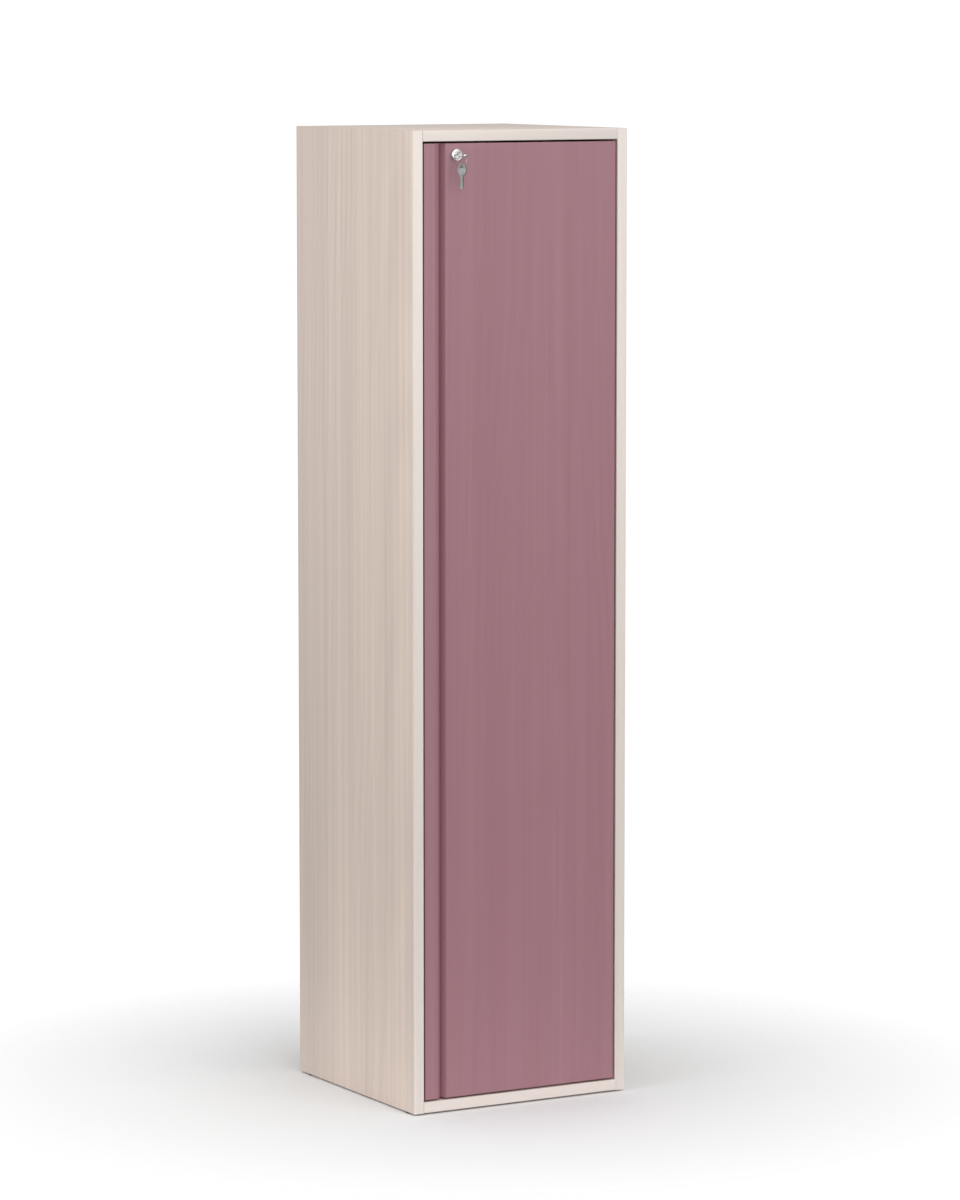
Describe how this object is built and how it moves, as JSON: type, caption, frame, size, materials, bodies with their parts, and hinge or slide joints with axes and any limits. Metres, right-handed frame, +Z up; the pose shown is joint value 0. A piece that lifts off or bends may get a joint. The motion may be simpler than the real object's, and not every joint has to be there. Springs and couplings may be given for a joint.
{
  "type": "locker cabinet",
  "caption": "Tall narrow locker with one inset door on concealed hinges, a milled finger grip, a rim lock with keys, a hat shelf and coat hooks.",
  "frame": {"origin": "middle of the cabinet's footprint at floor level", "axes": "+Z up, -Y out of the front, +X to the right seen from the front"},
  "size_m": [0.4, 0.4334, 1.6],
  "materials": {
    "pale_laminate": "wood-grain laminate on board, satin",
    "edge_band": "pale wood-effect edge band",
    "back_board": "thin fibreboard with a plain pale face",
    "mauve_foil": "dusty mauve wood-grain foil, satin",
    "zinc_plate": "bright zinc plate",
    "nickel_plate": "nickel plate",
    "satin_metal": "satin cast metal",
    "bright_steel": "bright drawn wire and pins",
    "chrome": "polished chrome",
    "key_steel": "nickel-plated stamped steel, worn",
    "beech": "fluted beech",
    "black_plastic": "moulded plastic"
  },
  "bodies": {
    "carcass": {"side_panel_left": "pale_laminate", "side_panel_right": "pale_laminate", "top_panel": "pale_laminate", "bottom_panel": "pale_laminate", "back_panel": "back_board", "hat_shelf": "pale_laminate", "side_band_left": "edge_band", "side_band_right": "edge_band", "top_band": "edge_band", "bottom_band": "edge_band", "shelf_band": "edge_band", "cam_discs": "zinc_plate", "cam_bolts": "zinc_plate", "dowels": "beech", "shelf_pins": "zinc_plate", "glides": "black_plastic", "door_stops": "black_plastic", "coat_hook_left": "satin_metal", "coat_hook_right": "satin_metal", "hook_screws": "zinc_plate", "hinge_arm_1": "nickel_plate", "hinge_arm_2": "nickel_plate", "hinge_arm_3": "nickel_plate", "hinge_plate_1": "nickel_plate", "hinge_plate_2": "nickel_plate", "hinge_plate_3": "nickel_plate", "arm_pins": "bright_steel", "plate_screws": "zinc_plate", "arm_screws": "zinc_plate", "strike_plate": "zinc_plate", "strike_screws": "zinc_plate"},
    "outer_links": {"hinge_outer_link_1": "nickel_plate", "hinge_outer_link_2": "nickel_plate", "hinge_outer_link_3": "nickel_plate"},
    "inner_links": {"hinge_inner_link_1": "nickel_plate", "hinge_inner_link_2": "nickel_plate", "hinge_inner_link_3": "nickel_plate"},
    "door": {"door_panel": "mauve_foil", "hinge_cup_1": "nickel_plate", "hinge_cup_2": "nickel_plate", "hinge_cup_3": "nickel_plate", "cup_pins": "bright_steel", "cup_screws": "zinc_plate", "lock_rosette": "chrome", "lock_base_plate": "zinc_plate", "lock_case": "zinc_plate", "lock_screws": "zinc_plate"},
    "lock_turner": {"lock_plug": "chrome", "lock_cam": "zinc_plate", "main_key": "key_steel"},
    "bolt": {"lock_bolt": "zinc_plate"},
    "ring": {"key_ring": "bright_steel"},
    "spare": {"spare_key": "key_steel"}
  },
  "joints": [
    {"name": "outer_link_swing", "type": "hinge", "parent": "carcass", "child": "outer_links", "pos_m": [0.151, -0.18, 0.8], "axis": [0, 0, 1], "range_deg": [-19, 0]},
    {"name": "door_swing", "type": "hinge", "parent": "outer_links", "child": "door", "pos_m": [0.1665, -0.188, 0.8], "axis": [0, 0, 1], "range_deg": [0, 114]},
    {"name": "inner_link_swing", "type": "hinge", "parent": "carcass", "child": "inner_links", "pos_m": [0.154, -0.1742, 0.8], "axis": [0, 0, 1], "range_deg": [-43.7, 0]},
    {"name": "key_turn", "type": "hinge", "parent": "door", "child": "lock_turner", "pos_m": [-0.1205, -0.2035, 1.5605], "axis": [0, -1, 0], "range_deg": [0, 78]},
    {"name": "bolt_throw", "type": "slide", "parent": "door", "child": "bolt", "axis": [0, 0, 1], "range_m": [0, 0.00883]},
    {"name": "key_ring_hang", "type": "hinge", "parent": "lock_turner", "child": "ring", "pos_m": [-0.1205, -0.2257, 1.5605], "axis": [0, -1, 0], "range_deg": [-78, 0]},
    {"name": "spare_key_swing", "type": "hinge", "parent": "ring", "child": "spare", "pos_m": [-0.1251, -0.2257, 1.5446], "axis": [1, 0, 0], "range_deg": [-30, 30]}
  ],
  "couplings": [
    {"joint": "outer_link_swing", "follows": "door_swing", "ratio": -0.16667},
    {"joint": "inner_link_swing", "follows": "door_swing", "ratio": -0.38333},
    {"joint": "bolt_throw", "follows": "key_turn", "m_per_rad": 0.006482},
    {"joint": "key_ring_hang", "follows": "key_turn", "ratio": -1}
  ]
}
